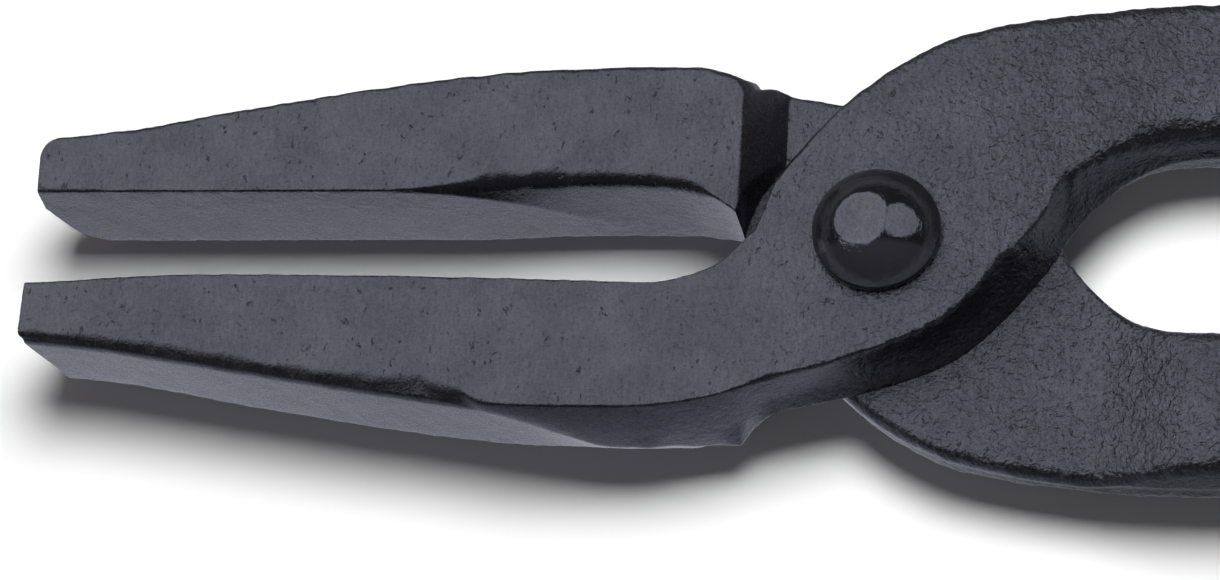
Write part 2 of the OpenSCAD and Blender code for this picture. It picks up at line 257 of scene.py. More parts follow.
def under_height(x):
    """Height of the underside: the jaw's own, the slope up to the flat boss, and the ramp to the rein."""
    slope = mix(-HALF_T, FACE_Z, (x - SLOPE_TOP_X) / (SLOPE_FOOT_X - SLOPE_TOP_X))
    ramp = mix(FACE_Z, -REIN_ROOT_T / 2, (1 - np.cos(np.pi * (x - RAMP_X0) / (RAMP_X1 - RAMP_X0))) / 2)
    return np.select([x <= SLOPE_TOP_X, x <= SLOPE_FOOT_X, x <= RAMP_X0, x <= RAMP_X1],
                     [-HALF_T + 0 * x, slope, FACE_Z + 0 * x, ramp], -curve(REIN_HEIGHT, x))


def stations():
    """Places along the bar: densest at the shoulder, dense on the head, wider apart along the reins."""
    s = SHOULDER_X
    parts = [np.linspace(-JAW_REACH, 1.6 - JAW_REACH, 9), np.arange(2 - JAW_REACH, -s - 3, 0.36),
             np.arange(-s - 2.9, 8 - s, 0.14), np.arange(8.2 - s, 46, 0.34), np.arange(46.5, 70, 0.7),
             np.arange(71, END_X - 1, 2), [END_X]]
    return np.concatenate(parts)


# ---------------------------------------------------------------- the section of a half
# Each section has eight corners, in this order around it. A middle is where a side stands out farthest, or
# on the jaw's grip side where the skin meets the ground face. The lips lie between the middles and the top.
GRIP_MID, GRIP_LIP, GRIP_TOP, OUTER_TOP, OUTER_LIP, OUTER_MID, OUTER_FOOT, GRIP_FOOT = range(8)
# Points on each rounded corner, on the top or the underside, and on each side from its corner to the next
CORNER_N = 6
FLAT_N = 60
EDGE_N = (5, 7, FLAT_N, 7, 5, 12, FLAT_N, 12)
# Steps along one upright side of the section, between the middles of its two corners' roundings
TALL_N = EDGE_N[GRIP_LIP] + EDGE_N[GRIP_MID] + EDGE_N[GRIP_FOOT] + 3 * CORNER_N

# A rounding's two inner control points lie this share of the way to the corner, as for a circle
ROUND_PULL = 0.55
# How high the middles can lie, and how far above the underside at least
MIDDLE_HIGHEST = 7.2
MIDDLE_ABOVE = 0.3
BOSS_MIDDLE_ABOVE = 1.8
# How far up a side its lip lies, as a share, and how far in; both are more in the crotch
LIP_SHARE = 0.3
CROTCH_LIP_SHARE = 0.12
LIP_IN = 0.5
CROTCH_LIP_IN = 0.7
# How far the belly and the top bulge, how far along the bar its side is evened, and how ragged its edges are
BELLY_SWELL = 0.35
TOP_SWELL = 0.03
EVEN_WIDTH = 2.6
RAGGED = 0.3
LEAST_ROUNDING = 0.12


class Bar:
    """What the sections depend on at each place x along the bar; side is 1 for the top half, else -1."""

    def __init__(self, x, side):
        self.x, self.side = x, side
        # Each of these is 1 where it applies and 0 elsewhere
        self.jaw = 1 - smooth_step(-15.6, -12.4, x)
        self.boss = span(BOSS_ZONE, x)
        self.crotch = span(CROTCH_ZONE, x)
        self.bellied = span(BELLY_ZONE, x)
        self.rein = smooth_step(RAMP_X0 - 3, ROOT_X, x)
        self.end = smooth_step(ROOT_X, END_X, x)
        # The heights, the two edges seen from above with their slants, and the lips and the belly
        self.top, self.under = curve(TOP_HEIGHT, x), under_height(x)
        shift = side * curve(SET_OVER, x)
        self.fill = curve(SHOULDER_FILL, x)
        self.grip = curve(GRIP_EDGE, x) + shift
        self.outer = curve(OUTER_EDGE, x) + shift - self.fill
        self.grip_slant, self.outer_slant = slant(GRIP_EDGE, x), slant(OUTER_EDGE, x)
        self.lip_share = LIP_SHARE + CROTCH_LIP_SHARE * self.crotch
        self.swell = BELLY_SWELL * self.bellied * self.jaw


def corner_heights(bar):
    crest = TOP_CREST if bar.side > 0 else BOTTOM_CREST
    grip_above = mix(MIDDLE_ABOVE, BOSS_MIDDLE_ABOVE, bar.boss)
    grip_z = np.clip(bar.jaw * (curve(SKIN_DEPTH, bar.x) - HALF_T), bar.under + grip_above, MIDDLE_HIGHEST)
    outer_z = np.clip(bar.jaw * curve(crest, bar.x), bar.under + MIDDLE_ABOVE, MIDDLE_HIGHEST)
    return {GRIP_MID: grip_z, OUTER_MID: outer_z, GRIP_TOP: bar.top, OUTER_TOP: bar.top,
            GRIP_FOOT: bar.under, OUTER_FOOT: bar.under}


def boss_and_rein_y(bar):
    """The sides of the boss and the rein, with the draft of a forging, which ends at the round rein end."""
    draft = DRAFT * (1 - bar.end)
    return {GRIP_MID: bar.grip, OUTER_MID: bar.outer,
            GRIP_TOP: bar.grip - bar.top * draft * (1 - 0.6 * bar.rein) * bar.grip_slant,
            GRIP_FOOT: bar.grip + bar.under * draft * bar.grip_slant,
            OUTER_TOP: bar.outer + bar.fill + bar.top * (draft + 0.1 * bar.crotch) * bar.outer_slant,
            OUTER_FOOT: bar.outer - bar.under * draft * bar.outer_slant}


def jaw_y(bar, grip_z, belly):
    x = bar.x
    far = curve(TOP_GRIP if bar.side > 0 else FAR_GRIP, x)
    skin = curve(SKIN_GRIP, x)
    depth = (grip_z + HALF_T) / JAW_T
    foot_in = 0 if bar.side > 0 else BOTTOM_FOOT_IN
    return {GRIP_MID: mix(curve(GRIP_EDGE, x), mix(skin, far, depth), smooth_step(-40, -28, x)),
            OUTER_MID: bar.outer - belly,
            GRIP_TOP: far, GRIP_FOOT: skin,
            OUTER_TOP: bar.outer + bar.fill - curve(TOP_OUTER, x),
            OUTER_FOOT: bar.outer - curve(FOOT_OUTER, x) - foot_in}


def add_lips(bar, y, z):
    """Adds the lips above the middles: from the boss on, a side flares out from its lip to its middle."""
    u = bar.lip_share
    depth = LIP_IN * (1 - bar.end) * smooth_step(-20, -4, bar.x)
    for lip, mid, corner, inward in ((GRIP_LIP, GRIP_MID, GRIP_TOP, -depth * bar.grip_slant),
                                     (OUTER_LIP, OUTER_MID, OUTER_TOP,
                                      (depth + CROTCH_LIP_IN * bar.crotch) * bar.outer_slant)):
        y[lip] = mix(y[mid], y[corner], u) + inward
        z[lip] = mix(z[mid], z[corner], u)
    y[OUTER_LIP] -= 4 * u * (1 - u) * bar.swell


def corner_points(bar):
    """The eight corners (y, z) of each section."""
    x = bar.x
    belly = curve(TOP_BELLY if bar.side > 0 else BOTTOM_BELLY, x)
    z = corner_heights(bar)
    behind, ahead = boss_and_rein_y(bar), jaw_y(bar, z[GRIP_MID], belly)
    y = {k: mix(behind[k], ahead[k], bar.jaw) for k in behind}
    y[OUTER_MID] = y[OUTER_MID] - (1 - bar.jaw) * belly
    add_lips(bar, y, z)
    # Above the shoulder the side runs on evenly from the jaw to the boss
    even = span(EVEN_ZONE, x)
    for v in (y[OUTER_TOP], y[OUTER_LIP], z[OUTER_LIP]):
        v[:] = mix(v, evened(x, v, EVEN_WIDTH), even)
    # The bevel on the jaw's upper edge is ragged, and so is the upper edge in the crotch
    y[OUTER_TOP] += RAGGED * (ripple(x, 5, 1.4) + ripple(x, 6, 4.5)) * (1 - smooth_step(-50, -46, x))
    y[OUTER_TOP] += curve(CROTCH_SET, x) * (1 + RAGGED * ripple(x, 8, 1.1)) * bar.outer_slant
    return np.stack([np.stack([y[k], z[k]], -1) for k in range(8)], 1)


def roundings(bar):
    """How far each corner is rounded, measured along the sides that meet there."""
    x = bar.x
    c = np.full((len(x), 8), 0.3)
    c[:, GRIP_MID] = mix(0.3, 1.5, smooth_step(-33, -28, x) * bar.jaw)
    c[:, GRIP_LIP] = 0.6
    c[:, OUTER_LIP] = mix(mix(mix(0.6, 0.3, bar.jaw), 1.8, bar.crotch), 0.5, bar.rein)
    c[:, OUTER_MID] = mix(mix(0.9, 0.4, smooth_step(-54, -47, x)), 0.2, 1 - bar.jaw)
    c[:, GRIP_TOP] = mix(0.5, 1.5, smooth_step(-16, -11, x)) + 0.7 * smooth_step(0, 26, x)
    upper = mix(mix(0.7, 0.35, bar.bellied), FORGED_R, smooth_step(ROOT_X - 14, ROOT_X, x))
    most = mix(1.4, 3.4, smooth_step(10, 36, x))
    c[:, OUTER_TOP] = np.where(x > -12, np.minimum(upper, most), upper)
    at_tip = 1 - smooth_step(-101, -95, x)
    c[:, GRIP_FOOT] = mix(0.35 + 1.5 * span(RELIEF_ZONE, x) + 0.6 * at_tip, 1.5, bar.boss)
    c[:, OUTER_FOOT] = 0.8 + 0.9 * span(SLOPE_ZONE, x)
    # Along the rein every edge is rounded more and more, until its end is round
    rounder = mix(FORGED_R * 1.1, REIN_END_D / 2, smooth_step(ROOT_X, END_X - 60, x))
    for k, least in ((GRIP_TOP, 2.2), (OUTER_TOP, 3.4), (GRIP_FOOT, 1.5), (OUTER_FOOT, 1.8)):
        c[:, k] = mix(c[:, k], np.maximum(rounder, least), bar.rein)
        ragged = 0.22 * ripple(x, k + 10 * bar.side, 1.1) + 0.2 * ripple(x, k + 20 * bar.side, 3.7)
        c[:, k] += ragged * (1 - bar.end) * np.minimum(c[:, k], 1.1)
    return np.clip(c, LEAST_ROUNDING, None)


def bulges(bar):
    """How far each side bulges: the flat top a little, and the belly in two parts that meet smoothly."""
    bulge = np.zeros((len(bar.x), 8))
    bulge[:, GRIP_TOP] = TOP_SWELL
    bulge[:, OUTER_TOP] = (1 - bar.lip_share) ** 2 * bar.swell
    bulge[:, OUTER_LIP] = bar.lip_share ** 2 * bar.swell
    return bulge


def rings(x, side):
    """Closed sections of the forging at each x, which start at the grip side's middle and go over the top."""
    bar = Bar(x, side)
    first, rounding, bulge = corner_points(bar), roundings(bar), bulges(bar)
    last = np.roll(first, -1, 1)
    chord = last - first
    length = np.linalg.norm(chord, axis=2)
    normal = np.stack([chord[..., 1], -chord[..., 0]], -1) / length[..., None]
    control = (first + last) / 2 + normal * 2 * bulge[..., None]
    # The shares of each side that its two roundings take, which leave a little of it between them
    next_rounding = np.roll(rounding, -1, 1)
    room = 0.98 * length / np.maximum(rounding + next_rounding, 1e-6)
    cut_a = rounding * np.minimum(room, 1) / length
    cut_b = next_rounding * np.minimum(room, 1) / length

    def edge(k, u):
        """Points at the shares u of side k."""
        u = u[..., None]
        a, b, c = first[:, k, None], control[:, k, None], last[:, k, None]
        return (1 - u) ** 2 * a + 2 * u * (1 - u) * b + u * u * c

    def along(k, u):
        """Direction of side k at the share u."""
        u = u[:, None]
        d = (1 - u) * (control[:, k] - first[:, k]) + u * (last[:, k] - control[:, k])
        return d / np.linalg.norm(d, axis=1)[:, None]

    pieces = []
    for k in range(8):
        j = (k - 1) % 8
        start = edge(j, 1 - cut_b[:, j, None])[:, 0]
        stop = edge(k, cut_a[:, k, None])[:, 0]
        leave = start + along(j, 1 - cut_b[:, j]) * (ROUND_PULL * cut_b[:, j] * length[:, j])[:, None]
        arrive = stop - along(k, cut_a[:, k]) * (ROUND_PULL * cut_a[:, k] * length[:, k])[:, None]
        t = np.linspace(0, 1, CORNER_N, endpoint=False)[None, :, None]
        pieces.append((1 - t) ** 3 * start[:, None] + 3 * t * (1 - t) ** 2 * leave[:, None]
                      + 3 * t * t * (1 - t) * arrive[:, None] + t ** 3 * stop[:, None])
        u = np.linspace(0, 1, EDGE_N[k], endpoint=False)[None, :]
        pieces.append(edge(k, mix(cut_a[:, k, None], 1 - cut_b[:, k, None], u)))
    ring = np.concatenate(pieces, 1)
    return ring[..., 0], ring[..., 1]


# ---------------------------------------------------------------- the forged halves
# The other half's boss swings past the shoulder in a round recess, whose wall blends this far to either side
SWING_R = 17.3
SWING_BLEND = 0.15
# The jaw's ground end: upright down to drop, then slanted back, with a rounded foot
TOP_TIP = dict(short=0, drop=0, slant=11.5, foot_r=1.5)
BOTTOM_TIP = dict(short=BOTTOM_TIP_SHORT, drop=5.2, slant=20, foot_r=6.5)
# The top half's end also slants back towards the other jaw, by this share
TOP_TIP_TURN = 0.045
# Roundings of the outer corners, which take the end as narrower than TIP_W at its upper and its lower edge
TOP_TIP_CORNER = 0.5
BOTTOM_TIP_CORNER = 2.9
TIP_IN_TOP = 0.65
TIP_IN_FOOT = 1.25
# The grinding fades out over this length of the jaw
TIP_FADE = 30
REIN_TIP_N = 11
# Fine relief: the size and the height of each noise, and the level that their sum is cut at
FORGED_RELIEF = ((12, 0.05), (2.4, 0.04), (0.9, 0.03))
FORGED_LEVEL = 0.05
RIVET_RELIEF = ((3.2, 0.05), (1.3, 0.02))
RIVET_LEVEL = 0.02
# Points keep this far inside the CAD's box
BOX_INSET = 0.01


def tip_shift(down, short, drop, slant, foot_r):
    """How far the jaw's ground end stands back, at a depth below the jaw's upper face."""
    slant = math.radians(slant)
    foot = (JAW_T - drop) * math.tan(slant)
    tangent = foot_r * math.tan(math.pi / 4 - slant / 2)
    height = np.clip(JAW_T - down, 0, foot_r)
    arc = foot + tangent - np.sqrt(np.clip(foot_r * foot_r - (foot_r - height) ** 2, 0, None))
    flat = np.clip(down - drop, 0, None) * math.tan(slant)
    return short + np.where(JAW_T - down < tangent * math.cos(slant), np.maximum(arc, flat), flat)


def grind_tip(points, side):
    """Grinds the jaw's end back and rounds its outer corner; the shift fades out along the jaw."""
    down = HALF_T - side * points[:, 2]
    outward = -HALF_GAP - points[:, 1]
    if side > 0:
        back = tip_shift(down, **TOP_TIP) + TOP_TIP_TURN * np.clip(TIP_W - outward, 0, TIP_W)
        corner = TOP_TIP_CORNER
    else:
        back = tip_shift(down, **BOTTOM_TIP)
        corner = BOTTOM_TIP_CORNER
    width = TIP_W - mix(TIP_IN_TOP, TIP_IN_FOOT, (HALF_T - points[:, 2]) / JAW_T)
    reach = np.clip(outward - (width - corner), 0, corner)
    back = back + corner - np.sqrt(np.clip(corner ** 2 - reach ** 2, 0, None))
    points[:, 0] += back * (1 - smooth_step(0, TIP_FADE, points[:, 0] + JAW_REACH))


def cut_recess(points):
    """Lifts the underside to the mating face wherever the other half's boss swings."""
    far = np.hypot(points[:, 0], points[:, 1])
    low = points[:, 2] < FACE_Z
    wall = smooth_step(SWING_R - SWING_BLEND, SWING_R + SWING_BLEND, far)
    points[low, 2] = mix(FACE_Z, points[:, 2], wall)[low]


def add_rein_end(x, y, z, side):
    """Adds the rows of the rein's straight round end and of its ball-shaped tip."""
    r = REIN_END_D / 2
    ball = np.radians(np.linspace(0, 88, REIN_TIP_N))
    row_x = ([END_X + (REIN_END_L - r) * u for u in (0.33, 0.66)]
             + [REIN_REACH - r + r * math.sin(a) for a in ball])
    row_size = [1, 1] + [math.cos(a) for a in ball]
    centre = REIN_END_Y + side * REIN_SET
    x = np.concatenate([x] + [np.full((1, x.shape[1]), v) for v in row_x])
    y = np.concatenate([y] + [centre + (y[-1:] - centre) * s for s in row_size])
    z = np.concatenate([z] + [z[-1:] * s for s in row_size])
    return x, y, z


def cap_sides(n):
    """The four sides of the jaw's end as indices into its ring of n points: top, bottom, left and right."""
    wide = FLAT_N + CORNER_N
    first = 2 * CORNER_N + EDGE_N[GRIP_MID] + EDGE_N[GRIP_LIP] + CORNER_N // 2
    index = [(first + k) % n for k in range(n + 1)]
    top = index[:wide + 1]
    left = index[wide:wide + TALL_N + 1]
    bottom = index[wide + TALL_N:2 * wide + TALL_N + 1][::-1]
    right = index[2 * wide + TALL_N:][::-1]
    return top, bottom, left, right


def cap_grid(ring, count):
    """Fills the jaw's end with a grid inside its ring.

    Returns the inner points, which are numbered from count on, and the faces.
    """
    top, bottom, left, right = cap_sides(len(ring))
    wide = len(top) - 1
    points = []
    ids = {(0, j): right[j] for j in range(TALL_N + 1)}
    ids.update({(wide, j): left[j] for j in range(TALL_N + 1)})
    for i in range(1, wide):
        ids[i, 0], ids[i, TALL_N] = top[i], bottom[i]
        for j in range(1, TALL_N):
            u, v = i / wide, j / TALL_N
            sides = ((1 - v) * ring[top[i]] + v * ring[bottom[i]]
                     + (1 - u) * ring[right[j]] + u * ring[left[j]])
            corners = ((1 - u) * (1 - v) * ring[top[0]] + u * (1 - v) * ring[top[-1]]
                       + (1 - u) * v * ring[bottom[0]] + u * v * ring[bottom[-1]])
            ids[i, j] = count + len(points)
            points.append(sides - corners)
    faces = [[ids[i, j], ids[i, j + 1], ids[i + 1, j + 1], ids[i + 1, j]]
             for i in range(wide) for j in range(TALL_N)]
    return points, faces


def new_mesh(name, points, faces):
    mesh = bpy.data.meshes.new(name)
    mesh.from_pydata([tuple(p) for p in points * MM], [], faces)
    mesh.validate()
    return mesh


def new_object(name, data):
    obj = bpy.data.objects.new(name, data)
    bpy.context.scene.collection.objects.link(obj)
    return obj


def forging_mesh(name, side):
    """The forged half as one closed mesh, in the top half's own frame: its parting plane is at z = 0.

    Known fault: the faces of the sides and the rein's tip point inward, and those of the jaw's end outward.
    """
    x = stations()
    y, z = rings(x, side)
    x = np.repeat(x[:, None], y.shape[1], 1)
    points = np.stack(add_rein_end(x, y, z, side), -1)
    rows, n = points.shape[:2]
    points = points.reshape(-1, 3)
    cut_recess(points)
    inner, cap = cap_grid(points[:n], rows * n)
    points = np.concatenate([points, np.array(inner)])
    grind_tip(points, side)
    faces = []
    for a in range(0, (rows - 1) * n, n):
        faces += [[a + j, a + n + j, a + n + (j + 1) % n, a + (j + 1) % n] for j in range(n)]
    faces += cap
    faces.append([(rows - 1) * n + j for j in range(n)])
    return new_mesh(name, points, faces)


def mesh_points(mesh):
    points = np.empty(len(mesh.vertices) * 3)
    mesh.vertices.foreach_get("co", points)
    return points.reshape(-1, 3)


def move_points(mesh, points):
    mesh.vertices.foreach_set("co", points.ravel())
    mesh.update()


def roughen(mesh, seed, level, relief):
    """Moves points a little against their normals, for the relief that hammer and scale leave.

    A point moves by as much as the sum of the relief's noises falls short of the level. That sinks it on the
    rivet and raises it on the sides of the forgings, whose faces point inward (see forging_mesh).
    """
    points = mesh_points(mesh)
    normals = np.empty(points.size)
    mesh.vertex_normals.foreach_get("vector", normals)
    depth = np.zeros(len(points))
    for size, height in relief:
        offset = Vector((seed, 0, size))
        depth += height * np.array([noise.noise(Vector(p) / (size * MM) + offset) for p in points])
    depth = np.minimum(depth - level, 0)
    move_points(mesh, points + normals.reshape(-1, 3) * depth[:, None] * MM)


def keep_inside(mesh, node):
    """Pulls any point that stands out of the CAD node's box back to it."""
    low, high = (np.array(c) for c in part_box(node))
    inset = BOX_INSET * MM
    move_points(mesh, np.clip(mesh_points(mesh), low + inset, high - inset))


def cut_bore(obj, r):
    """Cuts the bore for the rivet's shank along Z through the origin.

    Known fault: the forging is inside out, so the cut leaves nearly all of the bore's wall open.
    """
    bpy.ops.mesh.primitive_cylinder_add(vertices=96, radius=r * MM, depth=4 * JAW_T * MM)
    cutter = bpy.context.object
    modifier = obj.modifiers.new("bore", "BOOLEAN")
    modifier.object = cutter
    modifier.solver = "EXACT"
    bpy.context.view_layer.objects.active = obj
    bpy.ops.object.modifier_apply(modifier=modifier.name)
    bpy.data.objects.remove(cutter)


def paint(mesh, material):
    """Gives the whole mesh one material and smooth shading."""
    mesh.materials.clear()
    mesh.materials.append(material)
    mesh.polygons.foreach_set("use_smooth", [True] * len(mesh.polygons))


def forged_half(name, node, body, side, material):
    mesh = forging_mesh(name, side)
    turn = Matrix.Rotation(math.pi if side < 0 else 0, 4, "X")
    mesh.transform(Matrix.Translation((0, 0, MID_Z * MM)) @ turn)
    obj = new_object(name, mesh)
    roughen(mesh, 3 * side, FORGED_LEVEL, FORGED_RELIEF)
    keep_inside(mesh, node)
    cut_bore(obj, SHANK_R + (SHANK_CLEAR if side < 0 else 0))
    paint(obj.data, material)
    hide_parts(node)
    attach(obj, body)
    return obj


# ---------------------------------------------------------------- the rivet
# The upper head is a dome cut from one sphere, on a short upright edge
HEAD_EDGE_H = 1.2
DOME_H = HEAD_H - HEAD_EDGE_H
DOME_R = (HEAD_R ** 2 + DOME_H ** 2) / (2 * DOME_H)
DOME_Z = RIVET_HIGH.z - DOME_R
# The lower head is cut from a sphere too, with a flat in its middle, and stays clear of the bar
SET_FLAT_R = 3.5
# The flats that the hammer left on the dome, each a circle (x, y, radius) cut off it, with a soft edge
FLATS = ((-1.4, -0.2, 3.1), (3.1, -0.5, 2))
FLAT_BLEND = 0.12
# Rings on the dome as shares of the head's radius, and points on each ring
DOME_RINGS = np.concatenate([np.linspace(0.08, 0.95, 56), [0.965, 0.98, 0.99]])
RIVET_N = 160


def dome_height(x, y):
    """Height of the upper head: the dome, blended into its flats."""
    z = DOME_Z + np.sqrt(np.clip(DOME_R ** 2 - x * x - y * y, 0, None))
    for flat_x, flat_y, flat_r in FLATS:
        reach = math.sqrt(DOME_R ** 2 - flat_r ** 2)
        away = math.hypot(flat_x, flat_y)
        tilt = math.asin(away / reach)
        normal_x, normal_y = (v / away * math.sin(tilt) for v in (flat_x, flat_y))
        flat = DOME_Z + (reach - normal_x * x - normal_y * y) / math.cos(tilt)
        share = np.clip(0.5 + (z - flat) / (2 * FLAT_BLEND), 0, 1)
        z = mix(z, flat, share) - FLAT_BLEND * share * (1 - share)
    return z


def rivet_profile():
    """The rivet below its dome as (radius, z), from the upper head's edge down to the flat it stands on."""
    neck = SET_HEAD_H + JAW_T
    edge = neck + HEAD_EDGE_H
    set_top = SET_HEAD_H - FACE_GAP
    # Each sharp edge is broken by up to 0.3
    profile = [(HEAD_R - 0.03, edge - 0.05), (HEAD_R, edge - 0.25), (HEAD_R, neck + 0.3),
               (HEAD_R - 0.1, neck + 0.08), (HEAD_R - 0.3, neck), (SHANK_R + 0.2, neck), (SHANK_R, neck),
               (SHANK_R, neck - 0.2), (SHANK_R, SET_HEAD_H), (SHANK_R, set_top), (HEAD_R - 0.15, set_top),
               (HEAD_R - 0.02, set_top - 0.12)]
    # The lower head's sphere goes through its rim and through the edge of its flat
    centre_z = (SET_FLAT_R ** 2 - HEAD_R ** 2 - set_top ** 2) / (-2 * set_top)
    ball_r = math.hypot(SET_FLAT_R, centre_z)
    for z in np.linspace(set_top - 0.3, 0.15, 14):
        profile.append((min(HEAD_R, math.sqrt(ball_r ** 2 - (z - centre_z) ** 2)), z))
    return profile + [(SET_FLAT_R, 0.02), (SET_FLAT_R - 0.2, 0), (SET_FLAT_R / 2, 0)]


def rivet_mesh():
    """The rivet as rings around Z, from the top of its dome down, closed by one face at either end."""
    turn = np.linspace(0, 2 * math.pi, RIVET_N + 1)[:-1]
    rows = []
    for r in DOME_RINGS * HEAD_R:
        x, y = r * np.cos(turn), r * np.sin(turn)
        rows.append((x, y, dome_height(x, y)))
    rows += [(r * np.cos(turn), r * np.sin(turn), np.full(RIVET_N, z)) for r, z in rivet_profile()]
    points = np.stack([np.concatenate([row[i] for row in rows]) for i in range(3)], -1)
    last = (len(rows) - 1) * RIVET_N
    faces = [[a + j, a + RIVET_N + j, a + RIVET_N + (j + 1) % RIVET_N, a + (j + 1) % RIVET_N]
             for a in range(0, last, RIVET_N) for j in range(RIVET_N)]
    faces += [list(range(RIVET_N)), [last + j for j in range(RIVET_N)][::-1]]
    return new_mesh("rivet_heads", points, faces)


def hammered_rivet(material):
    mesh = rivet_mesh()
    obj = new_object("hammered_rivet", mesh)
    roughen(mesh, 11, RIVET_LEVEL, RIVET_RELIEF)
    keep_inside(mesh, "rivet")
    paint(mesh, material)
    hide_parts("rivet")
    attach(obj, "top")
    return obj


# ---------------------------------------------------------------- the camera
HEAD_WIDTH = 146.4 * MM      # how much of the tongs' length the frame takes in, at the aim's height
CAMERA_DISTANCE = 900 * MM
CAMERA_ELEVATION = 67
CAMERA_TO_THE_RIGHT = 130 * MM
AIM = Vector((-31.9, -7.5, 19.4)) * MM
SENSOR = 36.0


def camera_matrix(aim, distance, elevation, sideways):
    """Looks at aim from the front and above, moved sideways, and rolled so that the X axis stays level."""
    lift = math.radians(elevation)
    back = Vector((0, -math.cos(lift), math.sin(lift))) * distance
    back.x = sideways
    back = back.normalized()
    right = (Vector((1, 0, 0)) - back * back.x).normalized()
    up = back.cross(right)
    turn = Matrix((right, up, back)).transposed().to_4x4()
    return Matrix.Translation(aim + back * distance) @ turn


def add_camera():
    data = bpy.data.cameras.new("camera")
    camera = new_object("camera", data)
    data.sensor_width = SENSOR
    data.lens = SENSOR * CAMERA_DISTANCE / HEAD_WIDTH
    data.clip_end = 10
    camera.matrix_world = camera_matrix(AIM, CAMERA_DISTANCE, CAMERA_ELEVATION, CAMERA_TO_THE_RIGHT)
    bpy.context.scene.camera = camera


# ---------------------------------------------------------------- materials
SCALE_DARK = (0.006, 0.006, 0.008, 1)
SCALE_PALE = (0.012, 0.011, 0.013, 1)
# Greyer base colour in front of a given Y: a painted reflection of the floor on the rivet dome's near side
SCALE_PAINTED_REFLECTION = (0.027, 0.026, 0.034, 1)
GLOSS_TINT = (0.785, 0.79, 1, 1)
FULL_GLOSS = 1.28
BUMP_DEPTH = 0.2
FLOOR_WHITE = (0.8, 0.8, 0.8, 1)
FLOOR_WHITE_SEEN = (1.05, 1.05, 1.05, 1)
FLOOR_GLOW = (0.93, 0.95, 1.09, 1)


class Nodes:
    """An empty node tree, with short ways to add nodes to it and to join them."""

    def __init__(self, tree):
        self.nodes, self.links = tree.nodes, tree.links
        self.nodes.clear()

    def add(self, kind):
        return self.nodes.new("ShaderNode" + kind)

    def put(self, value, socket):
        """Joins an output to the socket, or sets the socket to a plain value."""
        if hasattr(value, "links"):
            self.links.new(value, socket)
        else:
            socket.default_value = value

    def math(self, operation, a, b=0.0):
        node = self.add("Math")
        node.operation = operation
        self.put(a, node.inputs[0])
        self.put(b, node.inputs[1])
        return node.outputs[0]

    def total(self, *terms):
        result = terms[0]
        for term in terms[1:]:
            result = self.math("ADD", result, term)
        return result

    def ramp(self, value, low, high, to_low=0.0, to_high=1.0):
        """Smooth change from to_low, where the value is low, to to_high, where it is high."""
        node = self.add("MapRange")
        node.interpolation_type = "SMOOTHSTEP"
        for name, v in (("Value", value), ("From Min", low), ("From Max", high), ("To Min", to_low),
                        ("To Max", to_high)):
            self.put(v, node.inputs[name])
        return node.outputs["Result"]

    def noise(self, where, size, detail, rough, distortion=0.0):
        """Noise whose features are about size millimetres across."""
        node = self.add("TexNoise")
        for name, v in (("Vector", where), ("Scale", 1 / (size * MM)), ("Detail", detail),
                        ("Roughness", rough), ("Distortion", distortion)):
            self.put(v, node.inputs[name])
        return node.outputs[0]

    def stretch(self, where, scale):
        node = self.add("Mapping")
        self.put(where, node.inputs["Vector"])
        self.put(scale, node.inputs["Scale"])
        return node.outputs[0]

    def split(self, where):
        """The x, y and z of a place or a direction."""
        node = self.add("SeparateXYZ")
        self.put(where, node.inputs[0])
        return node.outputs

    def mix_colour(self, factor, a, b):
        node = self.add("Mix")
        node.data_type = "RGBA"
        self.put(factor, node.inputs["Factor"])
        self.put(a, node.inputs[6])
        self.put(b, node.inputs[7])
        return node.outputs[2]

    def mix_shader(self, factor, a, b):
        node = self.add("MixShader")
        for v, socket in zip((factor, a, b), node.inputs):
            self.put(v, socket)
        return node.outputs[0]

    def finish(self, surface, kind="OutputMaterial"):
        self.put(surface, self.add(kind).inputs["Surface"])


def new_material(name):
    material = bpy.data.materials.new(name)
    material.use_nodes = True
    return material, Nodes(material.node_tree)


def steel_bump(tree, height, grain):
    bump = tree.add("Bump")
    bump.inputs["Strength"].default_value = grain
    bump.inputs["Distance"].default_value = BUMP_DEPTH * MM
    tree.put(height, bump.inputs["Height"])
    return bump.outputs["Normal"]


